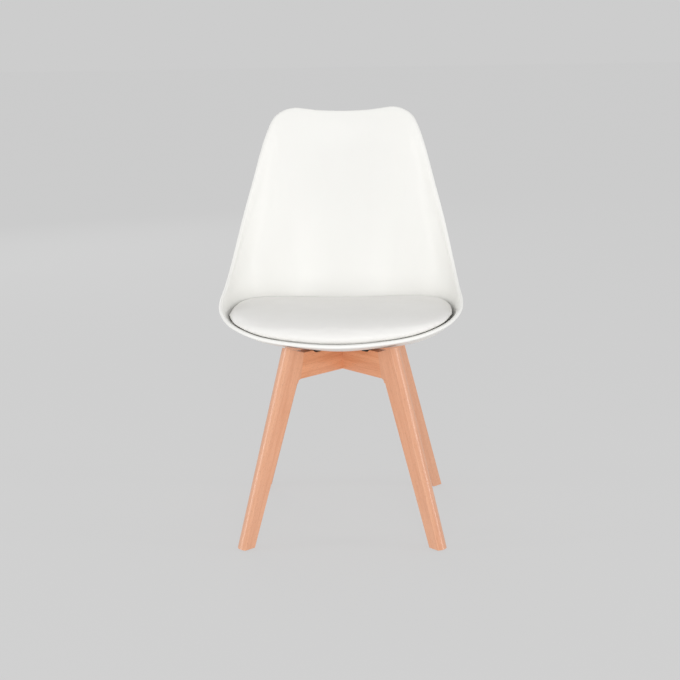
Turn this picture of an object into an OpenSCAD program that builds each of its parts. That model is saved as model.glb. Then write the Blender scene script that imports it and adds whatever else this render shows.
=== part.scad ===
// Dining chair: one-piece padded bucket shell on a beech cross base with four splayed legs.
// The origin is on the floor where the axes of the two rails cross. Seen from the front,
// +X is to the right, +Y to the rear and +Z up. Millimetres.

/* [Shell] */
// Height of the flat pan's underside above the floor
pan_z = 370; // [360:1:380]
// Radius of the flat middle of the pan
pan_r = 85; // [80:1:90]
// Wall thickness of the shell
shell_t = 4; // [3:0.5:5]
// Thickness of the rolled rim
rim_t = 7; // [5:0.5:8]
// Depth of the soft crease between the back panel and each wing
crease_depth = 7; // [0:1:12]

/* [Cushion] */
// Height of the cushion's top surface above the middle of the pan
cushion_top_z = 447; // [440:1:455]
// Backward tilt of the cushion's top, as a fall per millimetre
cushion_tilt = 0.085; // [0.03:0.005:0.1]
// Thickness of the cushion's cover
cover_t = 1.5; // [1:0.5:2]
// Thickness of the plywood board under the foam
board_t = 6; // [5:1:8]

/* [Base] */
// Thickness of the leg and rail boards
wood_t = 24.4; // [22:0.2:27]
// Distance from the chair's axis to the outer corner of a foot
foot_reach = 280; // [260:1:300]
// Width of a leg at the floor
foot_w = 28.4; // [26:0.2:32]
// Inward lean of a leg's outer edge, as a run per millimetre of height
outer_lean = 0.334; // [0.3:0.002:0.36]
// Inward lean of a leg's inner edge
inner_lean = 0.385; // [0.36:0.005:0.4]
// Height of the rails' lower edge
rail_z = 318; // [310:1:325]
// Height of the tops of the rails
base_top_z = 369; // [366:1:369]
// Height of the outer corner of a leg's head, which follows the shell's underside
head_z = 382.5; // [369:0.5:383]

/* [Fasteners] */
// Distance of each seat bolt from the chair's axis
bolt_reach = 72; // [68:1:74]
// Diameter of the seat bolts
bolt_d = 6; // [5:1:6]
// Diameter of the beech dowels
dowel_d = 8; // [6:1:10]

/* [Hidden] */
$fn = 48;

fit = 0.05;                 // radial clearance of a pin in its hole
sheet_gap = 0.3;            // air between soft layers

// Right half of the rim's outer edge, from the front lip over the hip to the top of the back
rim_half = [[0, -262, 418], [80, -253, 421], [150, -221, 426], [205, -160, 435],
    [232, -100, 447], [239, -55, 462], [234, -10, 483], [225, 50, 524], [208, 108, 600],
    [189, 149, 672], [171, 184, 740], [157, 207, 780], [146, 222, 800], [128, 235, 812],
    [106, 245, 817], [80, 252, 814], [50, 258, 810], [0, 262, 808]];
rim_steps = 3;              // curve pieces between two rim points
rim_roll = 2;               // how far the rolled rim stands past its edges

// Where the pan's plane and the wall's line meet, as a distance from the axis
foot_front = 88;
foot_side = 222;
foot_rear = 109;
bend_front = 50;            // run of the bend up the front wall
bend_side = 80;             // the same up the sides
bend_rear = 60;             // the same up the back
lip_lift = 4;               // how far the front wall rises above a straight line to the lip
front_turn = 6;             // how late the front's figures give way to the side's, going round

boss_h = 15;                // height of the pan's bosses above its underside
boss_top_z = pan_z + boss_h;
bolt_boss_r = 10;
screw_boss_r = 7;
screw_reach = 66;           // distance of each cushion screw from the axis
screw_hole_r = 2.3;
insert_r = 4.5;
insert_h = 11;

saddle_z = 364;             // top of the rails under the spacers
saddle_reach = 84;          // where the saddle starts to rise
saddle_ramp = 6;
joint_low = [123.5, rail_z];    // joint between rail and leg, distance from axis and height
joint_high = [114.3, base_top_z];
lap_z = (rail_z + saddle_z) / 2;
corner_names = ["front_right", "rear_right", "rear_left", "front_left"];
corner_angles = [-45, 45, 135, -135];

glide_t = 2;
glide_r = 9;
glide_pin_r = 1.5;
glide_pin_h = 14;

head_seat_z = rail_z + 9;   // underside of the bolts' washers inside the counterbores
counterbore_r = 8;
washer_t = 1.6;
spring_t = 1.5;
bolt_head_h = 6;
bolt_head_r = 5;
bolt_tip_z = pan_z + 10;

beech = [0.87, 0.63, 0.49];
white_pp = [0.97, 0.97, 0.94];

// ---------- curves and surfaces ----------

function unit(v) = v / norm(v);
function mix(a, b, t) = a + (b - a) * t;
function clamp01(t) = max(0, min(1, t));

// Catmull-Rom curve through b and c
function curve(a, b, c, d, t) = 0.5 * (2 * b + (c - a) * t
    + (2 * a - 5 * b + 4 * c - d) * t * t + (3 * b - a - 3 * c + d) * t * t * t);

rim_loop = concat(rim_half, [for (i = [len(rim_half) - 2:-1:1])
    [-rim_half[i].x, rim_half[i].y, rim_half[i].z]]);
function rim_point(i) = rim_loop[(i + len(rim_loop)) % len(rim_loop)];
function rim_curve(steps) = [for (i = [0:len(rim_loop) - 1]) for (k = [0:steps - 1])
    curve(rim_point(i - 1), rim_point(i), rim_point(i + 1), rim_point(i + 2), k / steps)];

// The shell is a family of upright sections through the axis. In each one the pan is flat,
// bends at the foot and runs straight up to the rim.
function azimuth(rim) = atan2(rim.y, rim.x);
function reach(rim) = norm([rim.x, rim.y]);
// A value that turns from its front to its side to its rear figure round the chair
function around(rim, values, rear_turn = 2) = let (c = abs(rim.x) / reach(rim))
    rim.y < 0 ? mix(values[0], values[1], pow(c, front_turn)) : mix(values[2], values[1], pow(c, rear_turn));
function foot(rim) = around(rim, [foot_front, foot_side, foot_rear]);
function wall(rim) = [reach(rim) - foot(rim), rim.z - pan_z];
function bend_end(rim) = [foot(rim), pan_z]
    + unit(wall(rim)) * around(rim, [bend_front, bend_side, bend_rear]);
// The cubic is 1 at its top, two thirds of the way up the wall
function lift(rim, w) = lip_lift * pow(max(0, -rim.y / reach(rim)), 2) * 27 / 4 * w * w * (1 - w);

// Section point: v from 0 to 1 is the pan, 1 to 2 the bend, 2 to 3 the wall
function section(rim, v) =
    v <= 1 ? [pan_r * v, pan_z] :
    v <= 2 ? let (t = v - 1)
        (1 - t) * (1 - t) * [pan_r, pan_z] + 2 * t * (1 - t) * [foot(rim), pan_z]
        + t * t * bend_end(rim) :
    mix(bend_end(rim), [reach(rim), rim.z], v - 2)
    + lift(rim, v - 2) * [-unit(wall(rim))[1], unit(wall(rim))[0]];

// Distance from the axis at which a section's outer face is at height z
function reach_at(rim, z) = let (rise = bend_end(rim)[1] - pan_z, t = sqrt((z - pan_z) / rise))
    t < 1 ? (1 - t) * (1 - t) * pan_r + 2 * t * (1 - t) * foot(rim) + t * t * bend_end(rim)[0] :
    foot(rim) + wall(rim)[0] * (z - pan_z) / wall(rim)[1];

// Soft crease that parts the back panel from the wings
crease_low_z = 460;
crease_high_z = 800;
crease_low_x = 242;
crease_high_x = 154;
crease_bow = 40;            // how far it bows inward between its ends
crease_width = 26;
function crease_rise(z) = clamp01((z - crease_low_z) / (crease_high_z - crease_low_z));
function crease_x(z) = mix(crease_low_x, crease_high_x, crease_rise(z))
    - crease_bow * sin(180 * pow(crease_rise(z), 0.7));
function crease(x, z) = let (off = (abs(x) - crease_x(z)) / crease_width)
    crease_depth * sin(180 * pow(crease_rise(z), 0.8)) * exp(-off * off);

function shell_point(rim, v) = let (p = section(rim, v), az = azimuth(rim),
        x = p[0] * cos(az), y = p[0] * sin(az))
    [x, y + crease(x, p[1]), p[1]];

// Rings of points moved along the surface's normal by the distance each ring asks for
function normal_at(rings, j, i) = let (n = len(rings[j]),
        across = rings[j][(i + 1) % n] - rings[j][(i + n - 1) % n],
        along = rings[min(j + 1, len(rings) - 1)][i] - rings[max(j - 1, 0)][i])
    unit(cross(along, across));
function offset_rings(rings, by) = [for (j = [0:len(rings) - 1])
    [for (i = [0:len(rings[j]) - 1]) rings[j][i] + normal_at(rings, j, i) * by[j]]];
function reversed(list) = [for (i = [len(list) - 1:-1:0]) list[i]];

// Closed solid through rings of equal length, from the pole under the first ring to the last pole
module ring_solid(first, rings, last) {
    n = len(rings[0]);
    points = concat([first], [for (r = rings) for (p = r) p], [last]);
    end = len(points) - 1;
    faces = concat(
        [for (i = [0:n - 1]) [0, 1 + i, 1 + (i + 1) % n]],
        [for (j = [0:len(rings) - 2]) for (i = [0:n - 1])
            let (a = 1 + j * n + i, b = 1 + j * n + (i + 1) % n)
            each [[a, b + n, b], [a, a + n, b + n]]],
        [for (i = [0:n - 1]) [end, end - n + (i + 1) % n, end - n + i]]);
    polyhedron(points, faces);
}

// ---------- seat shell ----------

bend_rows = [1, 1.25, 1.5, 1.75, 2];
wall_rows = [2.15, 2.3, 2.45, 2.6, 2.75, 2.88, 2.96, 3];
shell_rows = concat(bend_rows, wall_rows);
shell_outer = [for (v = shell_rows) [for (r = rim_curve(rim_steps)) shell_point(r, v)]];
shell_inner = offset_rings(shell_outer, [for (v = shell_rows)
    mix(shell_t, rim_t, clamp01((v - 2.75) / 0.25))]);
function rim_bead() = let (top = len(shell_rows) - 1)
    [for (i = [0:len(shell_outer[top]) - 1])
        (shell_outer[top][i] + shell_inner[top][i]) / 2
        + unit(shell_outer[top][i] - shell_outer[top - 1][i]) * rim_roll];

module shell_skin() {
    ring_solid([0, 0, pan_z], concat(shell_outer, [rim_bead()], reversed(shell_inner)),
        [0, 0, pan_z + shell_t]);
}

module at_bolts() {
    for (a = corner_angles) rotate(a) translate([bolt_reach, 0, 0]) children();
}

module at_cushion_screws() {
    for (a = [0:90:270]) rotate(a) translate([screw_reach, 0, 0]) children();
}

module seat_shell() color(white_pp) difference() {
    union() {
        shell_skin();
        at_bolts() translate([0, 0, pan_z + shell_t / 2])
            cylinder(r = bolt_boss_r, h = boss_h - shell_t / 2);
        at_cushion_screws() translate([0, 0, pan_z + shell_t / 2])
            cylinder(r = screw_boss_r, h = boss_h - shell_t / 2);
    }
    at_bolts() translate([0, 0, pan_z - 1]) cylinder(r = insert_r, h = insert_h + 1);
    at_cushion_screws() translate([0, 0, pan_z - 1]) cylinder(r = screw_hole_r, h = boss_h + 2);
}

module shell_inserts() color("goldenrod") at_bolts() translate([0, 0, pan_z]) difference() {
    cylinder(r = insert_r - fit, h = insert_h - fit);
    translate([0, 0, -1]) cylinder(r = bolt_d / 2 + fit, h = insert_h + 2);
}

// ---------- cushion ----------

board_z = boss_top_z + fit;
board_top_z = board_z + board_t;
hem_w = 13;                 // width of the cover's hem under the board
staple_count = 16;
// Figures at the front, the sides and the rear
cushion_gaps = [4, 4, 2];           // air between cushion and shell
cushion_drops = [45.5, 10, 5];      // from the top surface down to the widest line
cushion_reaches = [250, 222, 130];  // about how far that line is from the axis
dome_powers = [3, 3.2, 5];          // how square the edge is
board_reaches = [114, 138, 92];     // outline of the board
corner_turn = 8;                    // how late the rear figures give way to the side's
front_drop_turn = 3;                // how late the front drop gives way to the side's
corner_rise = 9;                    // how far the top curls up in the rear corners
cushion_rim = rim_curve(2);
dome_rows = [0.2, 0.4, 0.58, 0.72, 0.83, 0.91, 0.96, 0.985, 0.998];

// Height of the top's surface at distance r from the axis, before its edge rounds off
function curl(rim) = let (k = clamp01((sin(azimuth(rim)) + 0.2) / 0.6))
    k * k * (3 - 2 * k) * pow(cos(azimuth(rim)), 2);
function top_at(rim, r) = cushion_top_z - cushion_tilt * r * sin(azimuth(rim))
    + corner_rise * curl(rim) * pow(r / cushion_reaches[1], 2);
function edge_drop(rim) = let (s = sin(azimuth(rim)))
    s > 0 ? around(rim, cushion_drops, corner_turn) :
    mix(cushion_drops[1], cushion_drops[0], pow(-s, front_drop_turn));
function edge_z(rim) = top_at(rim, around(rim, cushion_reaches)) - edge_drop(rim);
function edge_reach(rim) = reach_at(rim, edge_z(rim))
    - (around(rim, [rim_t, shell_t, shell_t]) + 1) / unit(wall(rim))[1]
    - around(rim, cushion_gaps, corner_turn);
function board_reach(rim) = around(rim, board_reaches);

function polar(rim, r, z) = [r * cos(azimuth(rim)), r * sin(azimuth(rim)), z];
function dome_point(rim, k) = let (r = edge_reach(rim) * k,
        power = around(rim, dome_powers, corner_turn))
    polar(rim, r, mix(edge_z(rim), top_at(rim, r), pow(1 - pow(k, power), 1 / power)));
// Slope of the cushion's underside, from its widest line (t = 0) to the board's edge (t = 1)
function under_point(rim, t) = polar(rim, mix(edge_reach(rim), board_reach(rim) + 3, t),
    mix(edge_z(rim), board_z + 0.5, t));

dome_rings = [for (k = dome_rows) [for (r = cushion_rim) dome_point(r, k)]];
edge_ring = [for (r = cushion_rim) polar(r, edge_reach(r), edge_z(r))];
under_rings = [for (t = [0.12, 0.5, 1]) [for (r = cushion_rim) under_point(r, t)]];
hem_z = board_z - cover_t - 0.1;
hem_rings = [for (inset = [-1, hem_w]) [for (r = cushion_rim) polar(r, board_reach(r) - inset, hem_z)]];

module cushion_cover() color([0.96, 0.96, 0.95]) {
    outer = concat(dome_rings, [edge_ring], under_rings, hem_rings);
    inner = offset_rings(outer, [for (r = outer) -cover_t]);
    ring_solid([0, 0, cushion_top_z - cover_t], concat(inner, reversed(outer)),
        [0, 0, cushion_top_z]);
}

module cushion_foam() color("khaki") {
    skin = cover_t + sheet_gap;
    outer = concat(dome_rings, [edge_ring], [under_rings[0], under_rings[1]]);
    inner = offset_rings(outer, [for (r = outer) -skin]);
    base = [for (r = cushion_rim) let (t = (edge_z(r) - board_top_z) / (edge_z(r) - board_z - 0.5))
        polar(r, mix(edge_reach(r), board_reach(r) + 3, t) - 2 * skin, board_top_z + sheet_gap)];
    ring_solid([0, 0, board_top_z + sheet_gap], reversed(concat(inner, [base])),
        [0, 0, cushion_top_z - skin]);
}

module cushion_board() color("burlywood") difference() {
    translate([0, 0, board_z]) linear_extrude(board_t)
        polygon([for (r = cushion_rim) let (p = polar(r, board_reach(r) - 1, 0)) [p.x, p.y]]);
    at_cushion_screws() translate([0, 0, board_z - 1]) cylinder(r = 1.6, h = board_t);
}

module cover_staples() color("silver") for (k = [0:staple_count - 1]) {
    a = (k + 0.5) * 360 / staple_count;
    r = board_reach([cos(a), sin(a), 0]) - 6;
    rotate(a) translate([r - 0.5, -5, hem_z - 0.6]) cube([1, 10, 0.6]);
}

module cushion_screws() color("silver") at_cushion_screws() {
    translate([0, 0, pan_z - 2.2]) cylinder(r = 4, h = 2.2);
    translate([0, 0, pan_z - 1]) cylinder(r = 1.55, h = board_z - pan_z + board_t - 1);
}

// ---------- wooden base ----------

// A board standing in the upright plane through the axis, drawn as distance from axis and height
module board(outline) {
    rotate([90, 0, 0]) translate([0, 0, -wood_t / 2]) linear_extrude(wood_t) polygon(outline);
}

// Long bar with one convex side, which shapes the edge it is laid on.
// Its convex side faces +X and it runs up from the origin.
module crowned_bar(crown, length, depth) {
    half = wood_t / 2;
    radius = (half * half + crown * crown) / (2 * crown);
    arc = [for (k = [-crown_steps:crown_steps]) let (a = k / crown_steps * asin(half / radius))
        [radius * (cos(a) - 1), radius * sin(a)]];
    linear_extrude(length) polygon(concat(arc, [[-depth, half], [-depth, -half]]));
}

crown_steps = 7;
outer_crown = 3.5;          // how far a leg's outer edge bulges between its corners
inner_crown = 1.5;          // the same for its inner edge
function outer_at(z) = foot_reach - outer_lean * z;
function inner_at(z) = foot_reach - foot_w - inner_lean * z;
leg_outline = [[inner_at(glide_t), glide_t], [outer_at(glide_t), glide_t],
    [outer_at(head_z), head_z], joint_high, joint_low, [inner_at(rail_z), rail_z - 2]];

module leg_blank() intersection() {
    board(leg_outline);
    translate([foot_reach, 0, 0]) rotate([0, -atan(outer_lean), 0]) translate([0, 0, -20])
        crowned_bar(outer_crown, 460, 120);
    union() {
        translate([foot_reach - foot_w, 0, 0]) rotate([0, -atan(inner_lean), 0])
            translate([0, 0, -20]) rotate(180) crowned_bar(inner_crown, 360, 120);
        translate([0, -wood_t, rail_z - 8]) cube([300, 2 * wood_t, 80]);
    }
}

dowel_heights = [rail_z + 14, rail_z + 37];
dowel_in_leg = 20;
dowel_in_rail = 22;
module at_dowels() {
    for (z = dowel_heights) {
        r = mix(joint_low[0], joint_high[0], (z - rail_z) / (base_top_z - rail_z));
        translate([r - dowel_in_rail, 0, z]) rotate([0, 90, 0]) children();
    }
}
module dowel_holes() at_dowels() translate([0, 0, -1])
    cylinder(d = dowel_d + 2 * fit, h = dowel_in_leg + dowel_in_rail + 2);

module glide_place() {
    translate([(inner_at(glide_t) + outer_at(glide_t)) / 2, 0, 0]) children();
}

module leg(i) color(beech) rotate(corner_angles[i]) difference() {
    leg_blank();
    dowel_holes();
    glide_place() translate([0, 0, -1]) cylinder(r = glide_pin_r + fit, h = glide_pin_h + 2);
}

module dowels(i) color("wheat") rotate(corner_angles[i])
    at_dowels() cylinder(d = dowel_d, h = dowel_in_leg + dowel_in_rail);

module glide(i) color("gainsboro") rotate(corner_angles[i]) glide_place() {
    cylinder(r = glide_r, h = glide_t);
    cylinder(r = glide_pin_r, h = glide_pin_h);
}

rail_half_outline = [[0, rail_z], joint_low, joint_high,
    [saddle_reach + saddle_ramp, base_top_z], [saddle_reach, saddle_z], [0, saddle_z]];

module rail_blank(angle) rotate(angle) {
    for (turn = [0, 180]) rotate(turn) difference() {
        board(rail_half_outline);
        dowel_holes();
        translate([bolt_reach, 0, rail_z - 1]) cylinder(d = bolt_d + 1, h = 60);
        translate([bolt_reach, 0, rail_z - 1]) cylinder(r = counterbore_r, h = head_seat_z - rail_z + 1);
    }
}

module lap_cut(angle, from_z) rotate(angle)
    translate([-wood_t, -wood_t / 2 - fit, from_z]) cube([2 * wood_t, wood_t + 2 * fit, 40]);

module lap_hole() translate([0, 0, rail_z - 1]) cylinder(r = 2 + fit, h = 44);

module cross_rail_lower() color(beech) difference() {
    rail_blank(45);
    lap_cut(-45, lap_z);
    lap_hole();
}

module cross_rail_upper() color(beech) difference() {
    rail_blank(-45);
    lap_cut(45, lap_z - 40);
    lap_hole();
}

// ---------- fasteners ----------

module seat_bolts() color([0.2, 0.2, 0.2]) at_bolts() {
    head_z = head_seat_z - washer_t - spring_t - bolt_head_h;
    difference() {
        union() {
            translate([0, 0, head_z]) cylinder(r = bolt_head_r, h = bolt_head_h);
            translate([0, 0, head_z]) cylinder(r = bolt_d / 2, h = bolt_tip_z - head_z);
        }
        translate([0, 0, head_z - 1]) cylinder(r = 2.9, h = 4, $fn = 6);
    }
}

module ring(outer_r, inner_r, h) difference() {
    cylinder(r = outer_r, h = h);
    translate([0, 0, -1]) cylinder(r = inner_r, h = h + 2);
}

module bolt_washers() color("silver") at_bolts()
    translate([0, 0, head_seat_z - washer_t]) ring(counterbore_r - 0.4, bolt_d / 2 + 0.2, washer_t);

module spring_washers() color("dimgray") at_bolts()
    translate([0, 0, head_seat_z - washer_t - spring_t]) difference() {
        ring(bolt_head_r + 0.4, bolt_d / 2 + 0.1, spring_t);
        translate([0, -0.6, -1]) cube([10, 1.2, spring_t + 2]);
    }

module spacer_pads() color([0.1, 0.1, 0.1]) at_bolts()
    translate([0, 0, saddle_z]) ring(11, bolt_d / 2 + 0.5, pan_z - saddle_z);

module lap_screw() color("silver") {
    translate([0, 0, rail_z - 2.4]) cylinder(r = 4, h = 2.4);
    translate([0, 0, rail_z - 1]) cylinder(r = 2, h = 40);
}

seat_shell();
shell_inserts();
cushion_cover();
cushion_foam();
cushion_board();
cover_staples();
cushion_screws();
cross_rail_lower();
cross_rail_upper();
for (i = [0:3]) {
    leg(i);
    dowels(i);
    glide(i);
}
seat_bolts();
bolt_washers();
spring_washers();
spacer_pads();
lap_screw();
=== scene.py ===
"""Looks of the dining chair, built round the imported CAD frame. Lengths in the code are metres
unless a name ends in _mm."""

import math

import bpy
from mathutils import Matrix, Vector


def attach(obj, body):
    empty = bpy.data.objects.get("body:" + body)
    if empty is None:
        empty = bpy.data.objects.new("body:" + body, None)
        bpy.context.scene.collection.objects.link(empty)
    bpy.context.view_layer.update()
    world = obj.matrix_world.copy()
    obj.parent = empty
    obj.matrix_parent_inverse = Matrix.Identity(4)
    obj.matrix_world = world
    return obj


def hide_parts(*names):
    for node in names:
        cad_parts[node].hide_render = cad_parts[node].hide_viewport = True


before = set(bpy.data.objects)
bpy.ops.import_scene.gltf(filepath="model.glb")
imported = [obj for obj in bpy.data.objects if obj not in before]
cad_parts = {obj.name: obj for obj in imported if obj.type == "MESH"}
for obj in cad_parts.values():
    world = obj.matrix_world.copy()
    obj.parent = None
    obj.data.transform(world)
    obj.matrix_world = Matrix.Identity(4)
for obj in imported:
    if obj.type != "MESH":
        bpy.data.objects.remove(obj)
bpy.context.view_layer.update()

MM = 0.001
CORNERS = {"front_right": -45, "rear_right": 45, "rear_left": 135, "front_left": -135}


# ---------- small helpers ----------

def mix(a, b, t):
    return a + (b - a) * t


def clamp01(t):
    return max(0.0, min(1.0, t))


def smooth01(t):
    t = clamp01(t)
    return t * t * (3 - 2 * t)


def mesh_object(name, points, faces, smooth=True):
    mesh = bpy.data.meshes.new(name)
    mesh.from_pydata([tuple(p) for p in points], [], faces)
    mesh.validate()
    mesh.update()
    for polygon in mesh.polygons:
        polygon.use_smooth = smooth
    obj = bpy.data.objects.new(name, mesh)
    bpy.context.scene.collection.objects.link(obj)
    return obj


def apply_modifiers(obj):
    """Replaces the object's mesh by the one its modifiers make."""
    graph = bpy.context.evaluated_depsgraph_get()
    made = bpy.data.meshes.new_from_object(obj.evaluated_get(graph))
    obj.modifiers.clear()
    old = obj.data
    obj.data = made
    bpy.data.meshes.remove(old)


def dress(obj, material):
    """Gives a piece its only material."""
    obj.data.materials.clear()
    obj.data.materials.append(material)
    return obj


# ---------- materials ----------

class Shader:
    """A material with a Principled shader and short calls for the nodes that feed it."""

    def __init__(self, name, color, roughness, **sockets):
        self.material = bpy.data.materials.new(name)
        self.material.use_nodes = True
        self.tree = self.material.node_tree
        self.bsdf = self.tree.nodes["Principled BSDF"]
        self.bsdf.inputs["Base Color"].default_value = (*color, 1)
        self.bsdf.inputs["Roughness"].default_value = roughness
        for key, value in sockets.items():
            self.bsdf.inputs[key.replace("_", " ")].default_value = value
        self.coords = self.tree.nodes.new("ShaderNodeTexCoord").outputs["Object"]

    def node(self, kind, **settings):
        node = self.tree.nodes.new("ShaderNode" + kind)
        for key, value in settings.items():
            setattr(node, key, value)
        return node

    def link(self, source, target):
        self.tree.links.new(source, target)

    def mapped(self, rotation=(0, 0, 0), scale=(1, 1, 1), source=None):
        node = self.node("Mapping")
        node.inputs["Rotation"].default_value = rotation
        node.inputs["Scale"].default_value = scale
        self.link(source or self.coords, node.inputs["Vector"])
        return node.outputs["Vector"]

    def noise(self, scale, detail=3, roughness=0.5, vector=None, distortion=0.0):
        node = self.node("TexNoise")
        node.inputs["Scale"].default_value = scale
        node.inputs["Detail"].default_value = detail
        node.inputs["Roughness"].default_value = roughness
        node.inputs["Distortion"].default_value = distortion
        self.link(vector or self.coords, node.inputs["Vector"])
        return node.outputs["Fac"]

    def voronoi(self, scale, feature):
        node = self.node("TexVoronoi", feature=feature)
        node.inputs["Scale"].default_value = scale
        self.link(self.coords, node.inputs["Vector"])
        return node.outputs["Distance"]

    def math(self, operation, a, b):
        node = self.node("Math", operation=operation)
        for socket, value in zip(node.inputs, (a, b)):
            if isinstance(value, (int, float)):
                socket.default_value = value
            else:
                self.link(value, socket)
        return node.outputs[0]

    def ramp(self, factor, stops):
        node = self.node("ValToRGB")
        elements = node.color_ramp.elements
        while len(elements) < len(stops):
            elements.new(0.5)
        for element, (place, color) in zip(elements, stops):
            element.position = place
            element.color = (*color, 1)
        self.link(factor, node.inputs["Fac"])
        return node.outputs["Color"]

    def spread(self, factor, low, high, to_low, to_high):
        node = self.node("MapRange")
        for key, value in (("From Min", low), ("From Max", high),
                           ("To Min", to_low), ("To Max", to_high)):
            node.inputs[key].default_value = value
        self.link(factor, node.inputs["Value"])
        return node.outputs["Result"]

    def tint(self, factor, color_a, color_b):
        """Goes from one colour to the other. A colour is a tuple or another node's output."""
        node = self.node("Mix", data_type="RGBA")
        factor_in, a_in, b_in = node.inputs[0], node.inputs[6], node.inputs[7]
        for socket, value in ((factor_in, factor), (a_in, color_a), (b_in, color_b)):
            if isinstance(value, tuple):
                socket.default_value = (*value, 1)
            else:
                self.link(value, socket)
        return node.outputs[2]

    def bump(self, height, distance, strength=1.0, normal=None):
        node = self.node("Bump")
        node.inputs["Distance"].default_value = distance
        node.inputs["Strength"].default_value = strength
        self.link(height, node.inputs["Height"])
        if normal:
            self.link(normal, node.inputs["Normal"])
        return node.outputs["Normal"]

    def color(self, source):
        self.link(source, self.bsdf.inputs["Base Color"])

    def roughness(self, source):
        self.link(source, self.bsdf.inputs["Roughness"])

    def normal(self, source):
        self.link(source, self.bsdf.inputs["Normal"])


def polypropylene():
    s = Shader("white_polypropylene", (0.93, 0.925, 0.895), 0.4)
    cloud = s.noise(9, detail=2)
    s.color(s.tint(cloud, (0.92, 0.915, 0.885), (0.94, 0.935, 0.905)))
    s.roughness(s.spread(s.noise(60, detail=4), 0.3, 0.7, 0.36, 0.46))
    flow = s.bump(s.noise(14, detail=1), 0.0006, 0.25)
    s.normal(s.bump(s.noise(1500, detail=2), 0.00002, 0.5, flow))
    return s.material


def synthetic_leather():
    s = Shader("white_synthetic_leather", (0.885, 0.875, 0.85), 0.45)
    warp = s.noise(260, detail=2)
    pebbles = s.voronoi(620, "SMOOTH_F1")
    creases = s.voronoi(210, "DISTANCE_TO_EDGE")
    s.color(s.tint(s.noise(30, detail=3), (0.865, 0.855, 0.83), (0.9, 0.89, 0.87)))
    s.roughness(s.spread(warp, 0.3, 0.7, 0.4, 0.55))
    fine = s.bump(pebbles, 0.00012, 0.45)
    lines = s.bump(s.math("MINIMUM", creases, 0.12), 0.0004, 0.25, fine)
    s.normal(s.bump(warp, 0.0002, 0.3, lines))
    return s.material


def beech(name, along, across, light, dark, seed):
    """Lacquered beech: along is the way of the grain, across the way of the board's width."""
    along, across = along.normalized(), across.normalized()
    turn = Matrix((along, across, along.cross(across))).to_euler("XYZ")
    s = Shader(name, light, 0.4, Coat_Weight=0.8, Coat_Roughness=0.22)
    shift = s.node("Mapping")
    shift.inputs["Location"].default_value = (seed * 1.37, seed * 0.71, seed * 0.43)
    s.link(s.mapped(rotation=turn), shift.inputs["Vector"])
    grain = shift.outputs["Vector"]
    bands = s.noise(1, detail=3, vector=s.mapped(scale=(4, 70, 45), source=grain), distortion=0.8)
    lines = s.noise(1, detail=4, roughness=0.65, vector=s.mapped(scale=(16, 480, 380), source=grain))
    flecks = s.noise(1, detail=2, vector=s.mapped(scale=(190, 1500, 1500), source=grain))
    tone = s.math("ADD", s.math("MULTIPLY", bands, 0.5), s.math("MULTIPLY", lines, 0.5))
    middle = tuple(mix(a, b, 0.4) for a, b in zip(light, dark))
    wood = s.ramp(tone, [(0.38, dark), (0.5, middle), (0.6, light)])
    fleck = s.spread(flecks, 0.32, 0.42, 1.0, 0.0)
    fleck_color = tuple(0.6 * c for c in dark)
    s.color(s.tint(s.math("MULTIPLY", fleck, 0.45), wood, fleck_color))
    s.roughness(s.spread(lines, 0.3, 0.7, 0.33, 0.46))
    relief = s.math("SUBTRACT", lines, s.math("MULTIPLY", fleck, 0.5))
    s.normal(s.bump(relief, 0.00012, 0.4))
    return s.material


def plain(name, color, roughness, scale, bump=0.00003, **sockets):
    """A hard material with a little unevenness in tone, gloss and surface."""
    s = Shader(name, color, roughness, **sockets)
    cloud = s.noise(scale, detail=4)
    s.color(s.tint(cloud, tuple(0.86 * c for c in color), tuple(min(1, 1.1 * c) for c in color)))
    s.roughness(s.spread(cloud, 0.3, 0.7, max(0.05, roughness - 0.08), min(1, roughness + 0.1)))
    s.normal(s.bump(s.noise(scale * 12, detail=2), bump, 0.5))
    return s.material


# ---------- the shell's surface, from the same rule as the CAD ----------

# Sizes in millimetres. Three values stand for the front, the sides and the rear.
PAN_Z = 370
PAN_R = 85
SHELL_T = 4
RIM_T = 7
LIP_START, LIP_LENGTH = 2.8, 0.17     # where the wall thickens towards the rim, in v
RIM_HALF = [(0, -262, 418), (80, -253, 421), (150, -221, 426), (205, -160, 435),
            (232, -100, 447), (239, -55, 462), (234, -10, 483), (225, 50, 524), (208, 108, 600),
            (189, 149, 672), (171, 184, 740), (157, 207, 780), (146, 222, 800), (128, 235, 812),
            (106, 245, 817), (80, 252, 814), (50, 258, 810), (0, 262, 808)]
FOOT = (88, 222, 109)
BEND = (50, 80, 60)
LIP_LIFT = 4
FRONT_TURN = 6
LIP_SHAPE = 27 / 4                    # makes the highest value of w * w * (1 - w) one
CREASE_DEPTH = 7
CREASE_WIDTH = 26
CREASE_LOW_Z, CREASE_HIGH_Z = 460, 800
CREASE_LOW_X, CREASE_HIGH_X = 242, 154
CREASE_BOW = 40
BEAD_STEPS = 8


def catmull(a, b, c, d, t):
    return 0.5 * (2 * b + (c - a) * t + (2 * a - 5 * b + 4 * c - d) * t * t
                  + (3 * b - a - 3 * c + d) * t ** 3)


def rim_curve(steps):
    """The rim's outer edge as a closed curve, in millimetres."""
    half = [Vector(p) for p in RIM_HALF]
    loop = half + [Vector((-p.x, p.y, p.z)) for p in half[-2:0:-1]]
    n = len(loop)
    return [catmull(loop[i - 1], loop[i], loop[(i + 1) % n], loop[(i + 2) % n], k / steps)
            for i in range(n) for k in range(steps)]


def reach(rim):
    return math.hypot(rim.x, rim.y)


def around(rim, values, rear_turn=2):
    """Turns from the front to the side to the rear value round the chair."""
    front, side, rear = values
    c = abs(rim.x) / reach(rim)
    if rim.y < 0:
        return mix(front, side, c ** FRONT_TURN)
    return mix(rear, side, c ** rear_turn)


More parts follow.
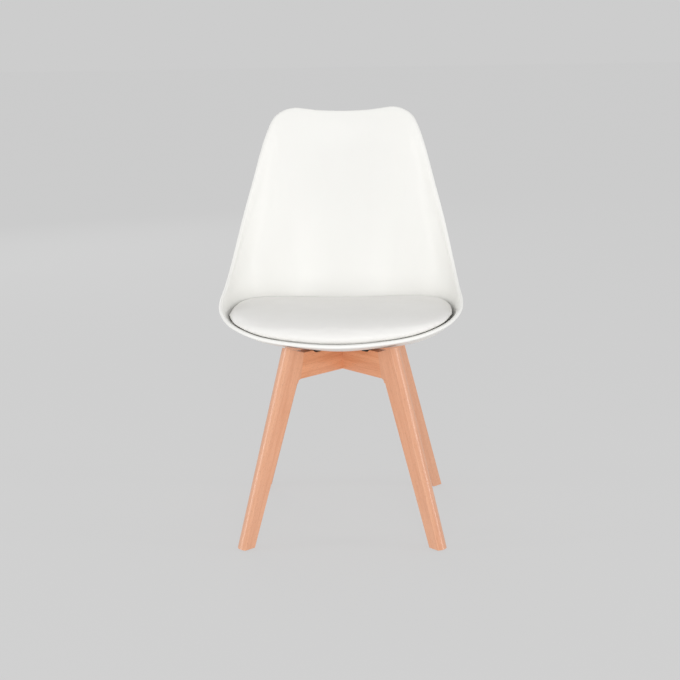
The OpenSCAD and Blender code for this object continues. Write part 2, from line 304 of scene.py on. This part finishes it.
class Section:
    """The upright section of the shell's outer face that ends at one point of the rim."""

    def __init__(self, rim):
        self.rim = rim
        self.foot = around(rim, FOOT)
        self.wall = Vector((reach(rim) - self.foot, rim.z - PAN_Z))
        self.way = self.wall.normalized()
        self.bend_end = Vector((self.foot, PAN_Z)) + self.way * around(rim, BEND)
        self.lift = LIP_LIFT * max(0, -rim.y / reach(rim)) ** 2

    def at(self, v):
        """Distance from the axis and height. v is 0 to 1 on the pan, 1 to 2 on the bend
        and 2 to 3 on the wall."""
        if v <= 1:
            return Vector((PAN_R * v, PAN_Z))
        if v <= 2:
            t = v - 1
            return ((1 - t) ** 2 * Vector((PAN_R, PAN_Z))
                    + 2 * t * (1 - t) * Vector((self.foot, PAN_Z)) + t * t * self.bend_end)
        w = v - 2
        rise = self.lift * LIP_SHAPE * w * w * (1 - w)
        return (self.bend_end.lerp(Vector((reach(self.rim), self.rim.z)), w)
                + rise * Vector((-self.way.y, self.way.x)))

    def reach_at(self, z):
        """Distance from the axis at which the outer face is at height z."""
        t = math.sqrt((z - PAN_Z) / (self.bend_end.y - PAN_Z))
        if t < 1:
            return (1 - t) ** 2 * PAN_R + 2 * t * (1 - t) * self.foot + t * t * self.bend_end.x
        return self.foot + self.wall.x * (z - PAN_Z) / self.wall.y

    def turned(self, r, z):
        """The point of this section at distance r from the axis and at height z."""
        return Vector((r * self.rim.x / reach(self.rim), r * self.rim.y / reach(self.rim), z))


def crease(x, z):
    """How far the soft crease between the back panel and a wing sets the shell back."""
    k = clamp01((z - CREASE_LOW_Z) / (CREASE_HIGH_Z - CREASE_LOW_Z))
    middle = (CREASE_LOW_X - (CREASE_LOW_X - CREASE_HIGH_X) * k
              - CREASE_BOW * math.sin(math.pi * k ** 0.7))
    off = (abs(x) - middle) / CREASE_WIDTH
    return CREASE_DEPTH * math.sin(math.pi * k ** 0.8) * math.exp(-off * off)


def ring_normals(rings):
    """Unit normals of rings of points, on the side of along x across."""
    count = len(rings[0])
    normals = []
    for j, ring in enumerate(rings):
        after, before = rings[min(j + 1, len(rings) - 1)], rings[max(j - 1, 0)]
        normals.append([(after[i] - before[i]).cross(ring[(i + 1) % count] - ring[i - 1]).normalized()
                        for i in range(count)])
    return normals


def ring_faces(ring_total, count):
    """Faces of a closed surface through rings. After the rings' points come two poles, one that
    closes the first ring and one that closes the last."""
    faces = []
    for j in range(ring_total - 1):
        for i in range(count):
            a, b = j * count + i, j * count + (i + 1) % count
            faces.append((a, b, b + count, a + count))
    first, last = ring_total * count, ring_total * count + 1
    top = (ring_total - 1) * count
    for i in range(count):
        faces.append((first, (i + 1) % count, i))
        faces.append((last, top + i, top + (i + 1) % count))
    return faces


def build_shell():
    """The moulding: outer face, rounded edge along the rim, and inner face."""
    sections = [Section(r) for r in rim_curve(8)]
    rows = ([0.35, 0.7, 1] + [1 + k / 12 for k in range(1, 13)]
            + [2 + 0.94 * k / 30 for k in range(1, 31)] + [2.96, 2.98, 2.995])
    outer = []
    for v in rows:
        ring = []
        for s in sections:
            p = s.turned(*s.at(v))
            ring.append(p + Vector((0, crease(p.x, p.z), 0)))
        outer.append(ring)
    normals = ring_normals(outer)
    inner = []
    for v, ring, normal in zip(rows, outer, normals):
        thickness = mix(SHELL_T, RIM_T, smooth01((v - LIP_START) / LIP_LENGTH))
        inner.append([p + n * thickness for p, n in zip(ring, normal)])
    bead = []
    for k in range(1, BEAD_STEPS):
        angle = math.pi * k / BEAD_STEPS
        ring = []
        for i in range(len(sections)):
            low, high = outer[-1][i], inner[-1][i]
            middle, half = (low + high) / 2, (high - low) / 2
            forward = (outer[-1][i] - outer[-2][i]).normalized() * half.length * 0.9
            ring.append(middle - half * math.cos(angle) + forward * math.sin(angle))
        bead.append(ring)
    rings = outer + bead + inner[::-1]
    points = [p * MM for ring in rings for p in ring]
    points += [Vector((0, 0, PAN_Z)) * MM, Vector((0, 0, PAN_Z + SHELL_T)) * MM]
    return mesh_object("shell_moulding", points, ring_faces(len(rings), len(sections)))


# ---------- cushion ----------

# Sizes in millimetres. Three values stand for the front, the sides and the rear.
CUSHION_TOP_Z = 447
CUSHION_TILT = 0.085
CUSHION_GAPS = (4, 4, 2)
CUSHION_DROPS = (45.5, 10, 5)
CUSHION_REACHES = (250, 222, 130)
DOME_POWERS = (3, 3.2, 5)
CORNER_TURN = 8
FRONT_DROP_TURN = 3
CORNER_RISE = 9
BOARD_REACH = (114, 138, 92)
BOARD_Z = 385
HELD_HEIGHT = 12
VOXEL = 4
# How far the cover may stand out from its form
SWELL_LOW, SWELL_HIGH = 0.6, 1.6
SHRINK = 1.0
CLOTH_FRAMES = 20


class CushionSection:
    """One upright section of the cushion: its widest line, its top and its underside."""

    def __init__(self, section):
        rim = section.rim
        self.section = section
        self.sine = rim.y / reach(rim)
        k = smooth01((self.sine + 0.2) / 0.6)
        self.curl = CORNER_RISE * k * (1 - self.sine ** 2)
        drop = around(rim, CUSHION_DROPS, CORNER_TURN)
        if self.sine < 0:
            drop = mix(CUSHION_DROPS[1], CUSHION_DROPS[0], (-self.sine) ** FRONT_DROP_TURN)
        self.edge_z = self.top(around(rim, CUSHION_REACHES)) - drop
        thickness = around(rim, (RIM_T, SHELL_T, SHELL_T)) + 1
        self.edge_r = (section.reach_at(self.edge_z) - thickness / section.way.y
                       - around(rim, CUSHION_GAPS, CORNER_TURN))
        self.power = around(rim, DOME_POWERS, CORNER_TURN)
        self.board_r = around(rim, BOARD_REACH)

    def top(self, r):
        """Height of the top at distance r from the axis, before its edge rounds off."""
        return (CUSHION_TOP_Z - CUSHION_TILT * r * self.sine
                + self.curl * (r / CUSHION_REACHES[1]) ** 2)

    def dome(self, share):
        """Point of the top at a share of the way out to the widest line."""
        r = self.edge_r * share
        rise = (1 - share ** self.power) ** (1 / self.power)
        return self.section.turned(r, mix(self.edge_z, self.top(r), rise))

    def under(self, t):
        """Point of the underside's slope, from the widest line to the board's edge."""
        return self.section.turned(mix(self.edge_r, self.board_r, t), mix(self.edge_z, BOARD_Z, t))


def cushion_form():
    sections = [CushionSection(Section(r)) for r in rim_curve(4)]
    shares = [math.sin(math.radians(4.5 * k)) for k in range(1, 20)] + [0.9995]
    rings = [[s.dome(share) for s in sections] for share in shares]
    rings += [[s.under(t) for s in sections] for t in (0.03, 0.12, 0.35, 0.7, 1)]
    rings += [[s.section.turned(s.board_r * share, BOARD_Z) for s in sections]
              for share in (0.7, 0.35)]
    rings = rings[::-1]
    points = [p * MM for ring in rings for p in ring]
    points += [Vector((0, 0, BOARD_Z)) * MM, Vector((0, 0, CUSHION_TOP_Z)) * MM]
    return mesh_object("seat_cushion", points, ring_faces(len(rings), len(sections)))


def inflate(cushion):
    """Blows the cover up over its filling by cloth simulation, and keeps its size."""
    remesh = cushion.modifiers.new("even_grid", "REMESH")
    remesh.mode = "VOXEL"
    remesh.voxel_size = VOXEL * MM
    apply_modifiers(cushion)
    mesh = cushion.data
    form = [(v.co.copy(), v.normal.copy()) for v in mesh.vertices]
    for vertex, (place, normal) in zip(mesh.vertices, form):
        vertex.co = place - normal * SHRINK * MM
    held = cushion.vertex_groups.new(name="board_edge")
    held_top = (BOARD_Z + HELD_HEIGHT) * MM
    held.add([v.index for v in mesh.vertices if v.co.z < held_top], 1, "REPLACE")
    cloth = cushion.modifiers.new("filling", "CLOTH")
    cloth.settings.quality = 5
    cloth.settings.mass = 0.4
    cloth.settings.tension_stiffness = 25
    cloth.settings.compression_stiffness = 25
    cloth.settings.bending_stiffness = 6
    cloth.settings.use_pressure = True
    cloth.settings.uniform_pressure_force = 4
    cloth.settings.vertex_group_mass = "board_edge"
    cloth.settings.effector_weights.gravity = 0
    cloth.collision_settings.use_collision = False
    scene = bpy.context.scene
    for number in range(1, CLOTH_FRAMES + 1):
        scene.frame_set(number)
    apply_modifiers(cushion)
    scene.frame_set(1)
    for vertex, (place, normal) in zip(cushion.data.vertices, form):
        stand = (vertex.co - place).dot(normal)
        vertex.co = place + normal * max(SWELL_LOW * MM, min(SWELL_HIGH * MM, stand))
    cushion.vertex_groups.clear()
    even = cushion.modifiers.new("even", "SMOOTH")
    even.factor = 0.5
    even.iterations = 3
    cushion.modifiers.new("fine", "SUBSURF").levels = 1
    apply_modifiers(cushion)
    for polygon in cushion.data.polygons:
        polygon.use_smooth = True


def build_cushion():
    cushion = cushion_form()
    inflate(cushion)
    return cushion


# ---------- the pieces ----------

shell = dress(build_shell(), polypropylene())
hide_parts("seat_shell")
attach(shell, "root")

cushion = dress(build_cushion(), synthetic_leather())
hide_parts("cushion_cover", "cushion_foam")
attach(cushion, "root")

LEG_LIGHT, LEG_DARK = (0.80, 0.41, 0.245), (0.71, 0.33, 0.185)
# The rails' beech colours are partly their own warmer tone and partly painted light: they are made
# about a tenth brighter to make up for the shade under the seat.
RAIL_LIGHT_GRAIN_WITH_PAINTED_LIGHT, RAIL_DARK_GRAIN_WITH_PAINTED_LIGHT = (0.87, 0.41, 0.22), (0.72, 0.29, 0.135)
DOWEL_LIGHT, DOWEL_DARK = (0.72, 0.5, 0.3), (0.6, 0.4, 0.22)
UP = Vector((0, 0, 1))
SPLAY = math.atan(0.36)
RAIL_LEAN = math.radians(8)


def radial(angle):
    return Vector((math.cos(math.radians(angle)), math.sin(math.radians(angle)), 0))


def ease_edges(obj, width_mm):
    """Breaks a board's sharp edges, as sanding does."""
    bevel = obj.modifiers.new("eased_edges", "BEVEL")
    bevel.width = width_mm * MM
    bevel.segments = 2
    bevel.angle_limit = math.radians(25)


for seed, (corner, angle) in enumerate(CORNERS.items()):
    out = radial(angle)
    axis = UP * math.cos(SPLAY) - out * math.sin(SPLAY)
    width = out * math.cos(SPLAY) + UP * math.sin(SPLAY)
    leg = dress(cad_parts["leg_" + corner],
                beech("beech_leg_" + corner, axis, width, LEG_LIGHT, LEG_DARK, seed + 1))
    ease_edges(leg, 0.8)
    dress(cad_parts["dowels_" + corner],
          beech("beech_dowel_" + corner, out, UP, DOWEL_LIGHT, DOWEL_DARK, seed + 9))
for seed, (name, angle) in enumerate((("lower", 45), ("upper", -45))):
    out = radial(angle)
    grain = out * math.cos(RAIL_LEAN) + UP * math.sin(RAIL_LEAN)
    # Painted light: these rail colours are brightened to stand in for light in the shade under the
    # seat.
    rail = dress(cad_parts["cross_rail_" + name],
                 beech("beech_rail_with_painted_light_" + name, grain, UP, RAIL_LIGHT_GRAIN_WITH_PAINTED_LIGHT, RAIL_DARK_GRAIN_WITH_PAINTED_LIGHT, seed + 5))
    ease_edges(rail, 0.6)

zinc = plain("zinc_plated_steel", (0.62, 0.62, 0.63), 0.35, 90, Metallic=1.0)
black_steel = plain("black_oxide_steel", (0.03, 0.03, 0.032), 0.4, 120, Metallic=0.8)
brass = plain("machined_brass", (0.75, 0.55, 0.25), 0.3, 140, Metallic=1.0)
rubber = plain("black_rubber", (0.018, 0.018, 0.018), 0.75, 200, 0.00008)
nylon = plain("matt_nylon", (0.75, 0.74, 0.7), 0.5, 80)
foam = plain("cut_foam", (0.82, 0.76, 0.55), 0.9, 500, 0.0004)
plywood = beech("birch_plywood", Vector((1, 0, 0)), Vector((0, 1, 0)),
                (0.72, 0.55, 0.36), (0.6, 0.42, 0.25), 20)

FINISHES = {
    "cushion_foam": (foam, "foam"), "cushion_board": (plywood, "plywood"),
    "cover_staples": (zinc, "zinc_steel"), "cushion_screws": (zinc, "zinc_steel"),
    "bolt_washers": (zinc, "zinc_steel"), "spring_washers": (zinc, "zinc_steel"),
    "lap_screw": (zinc, "zinc_steel"), "seat_bolts": (black_steel, "black_steel"),
    "shell_inserts": (brass, "insert_brass"), "spacer_pads": (rubber, "black_rubber"),
}
FINISHES.update({"glide_" + corner: (nylon, "glide_nylon") for corner in CORNERS})
for name, (material, slot) in FINISHES.items():
    dress(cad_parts[name], material)


# ---------- camera, light and floor ----------

FRAME_PX = 680
FOCAL_PX = 1427.2
SENSOR_WIDTH = 36


def add_camera():
    yaw, roll, pitch = -0.0453, -0.0171, 0.2344
    data = bpy.data.cameras.new("camera")
    data.sensor_width = SENSOR_WIDTH
    data.lens = SENSOR_WIDTH * FOCAL_PX / FRAME_PX
    data.clip_end = 100
    camera = bpy.data.objects.new("camera", data)
    camera.matrix_world = (Matrix.Rotation(-yaw, 4, "Z")
                           @ Matrix.Translation((-0.0053, -2.795, 1.0401))
                           @ Matrix.Rotation(math.pi / 2 - pitch, 4, "X")
                           @ Matrix.Rotation(roll, 4, "Z"))
    bpy.context.scene.collection.objects.link(camera)
    bpy.context.scene.camera = camera


def add_softbox(name, place, size, power, target=(0, 0, 0.5)):
    data = bpy.data.lights.new(name, "AREA")
    data.shape = "RECTANGLE"
    data.size, data.size_y = size
    data.energy = power
    light = bpy.data.objects.new(name, data)
    light.location = place
    light.rotation_euler = (Vector(target) - Vector(place)).to_track_quat("-Z", "Y").to_euler()
    bpy.context.scene.collection.objects.link(light)


def add_surroundings():
    """Even studio light and a floor that meets the backdrop in one pale grey."""
    world = bpy.data.worlds.new("studio")
    bpy.context.scene.world = world
    world.use_nodes = True
    background = world.node_tree.nodes["Background"]
    background.inputs["Color"].default_value = (0.61, 0.61, 0.61, 1)
    background.inputs["Strength"].default_value = 1.0
    add_softbox("key_softbox", (0.15, -3.4, 1.0), (1.8, 1.6), 46)
    add_softbox("right_strip", (2.1, -0.35, 0.8), (0.3, 1.5), 7.5, (0, 0, 0.4))
    add_softbox("left_strip", (-2.1, -0.35, 0.8), (0.3, 1.5), 7.5, (0, 0, 0.4))
    add_softbox("rear_softbox", (-1.6, 3.4, 1.8), (2.2, 2.2), 20)
    corners = [(-20, -20, 0), (20, -20, 0), (20, 20, 0), (-20, 20, 0)]
    floor = mesh_object("floor", corners, [(0, 1, 2, 3)], False)
    s = Shader("studio_floor", (0.12, 0.12, 0.12), 0.9, Specular_IOR_Level=0.0,
               Emission_Color=(1, 1, 1, 1), Emission_Strength=0.528)
    s.color(s.tint(s.noise(3), (0.117, 0.117, 0.117), (0.123, 0.123, 0.123)))
    floor.data.materials.append(s.material)


add_camera()
add_surroundings()
bpy.context.scene.view_settings.view_transform = "Standard"
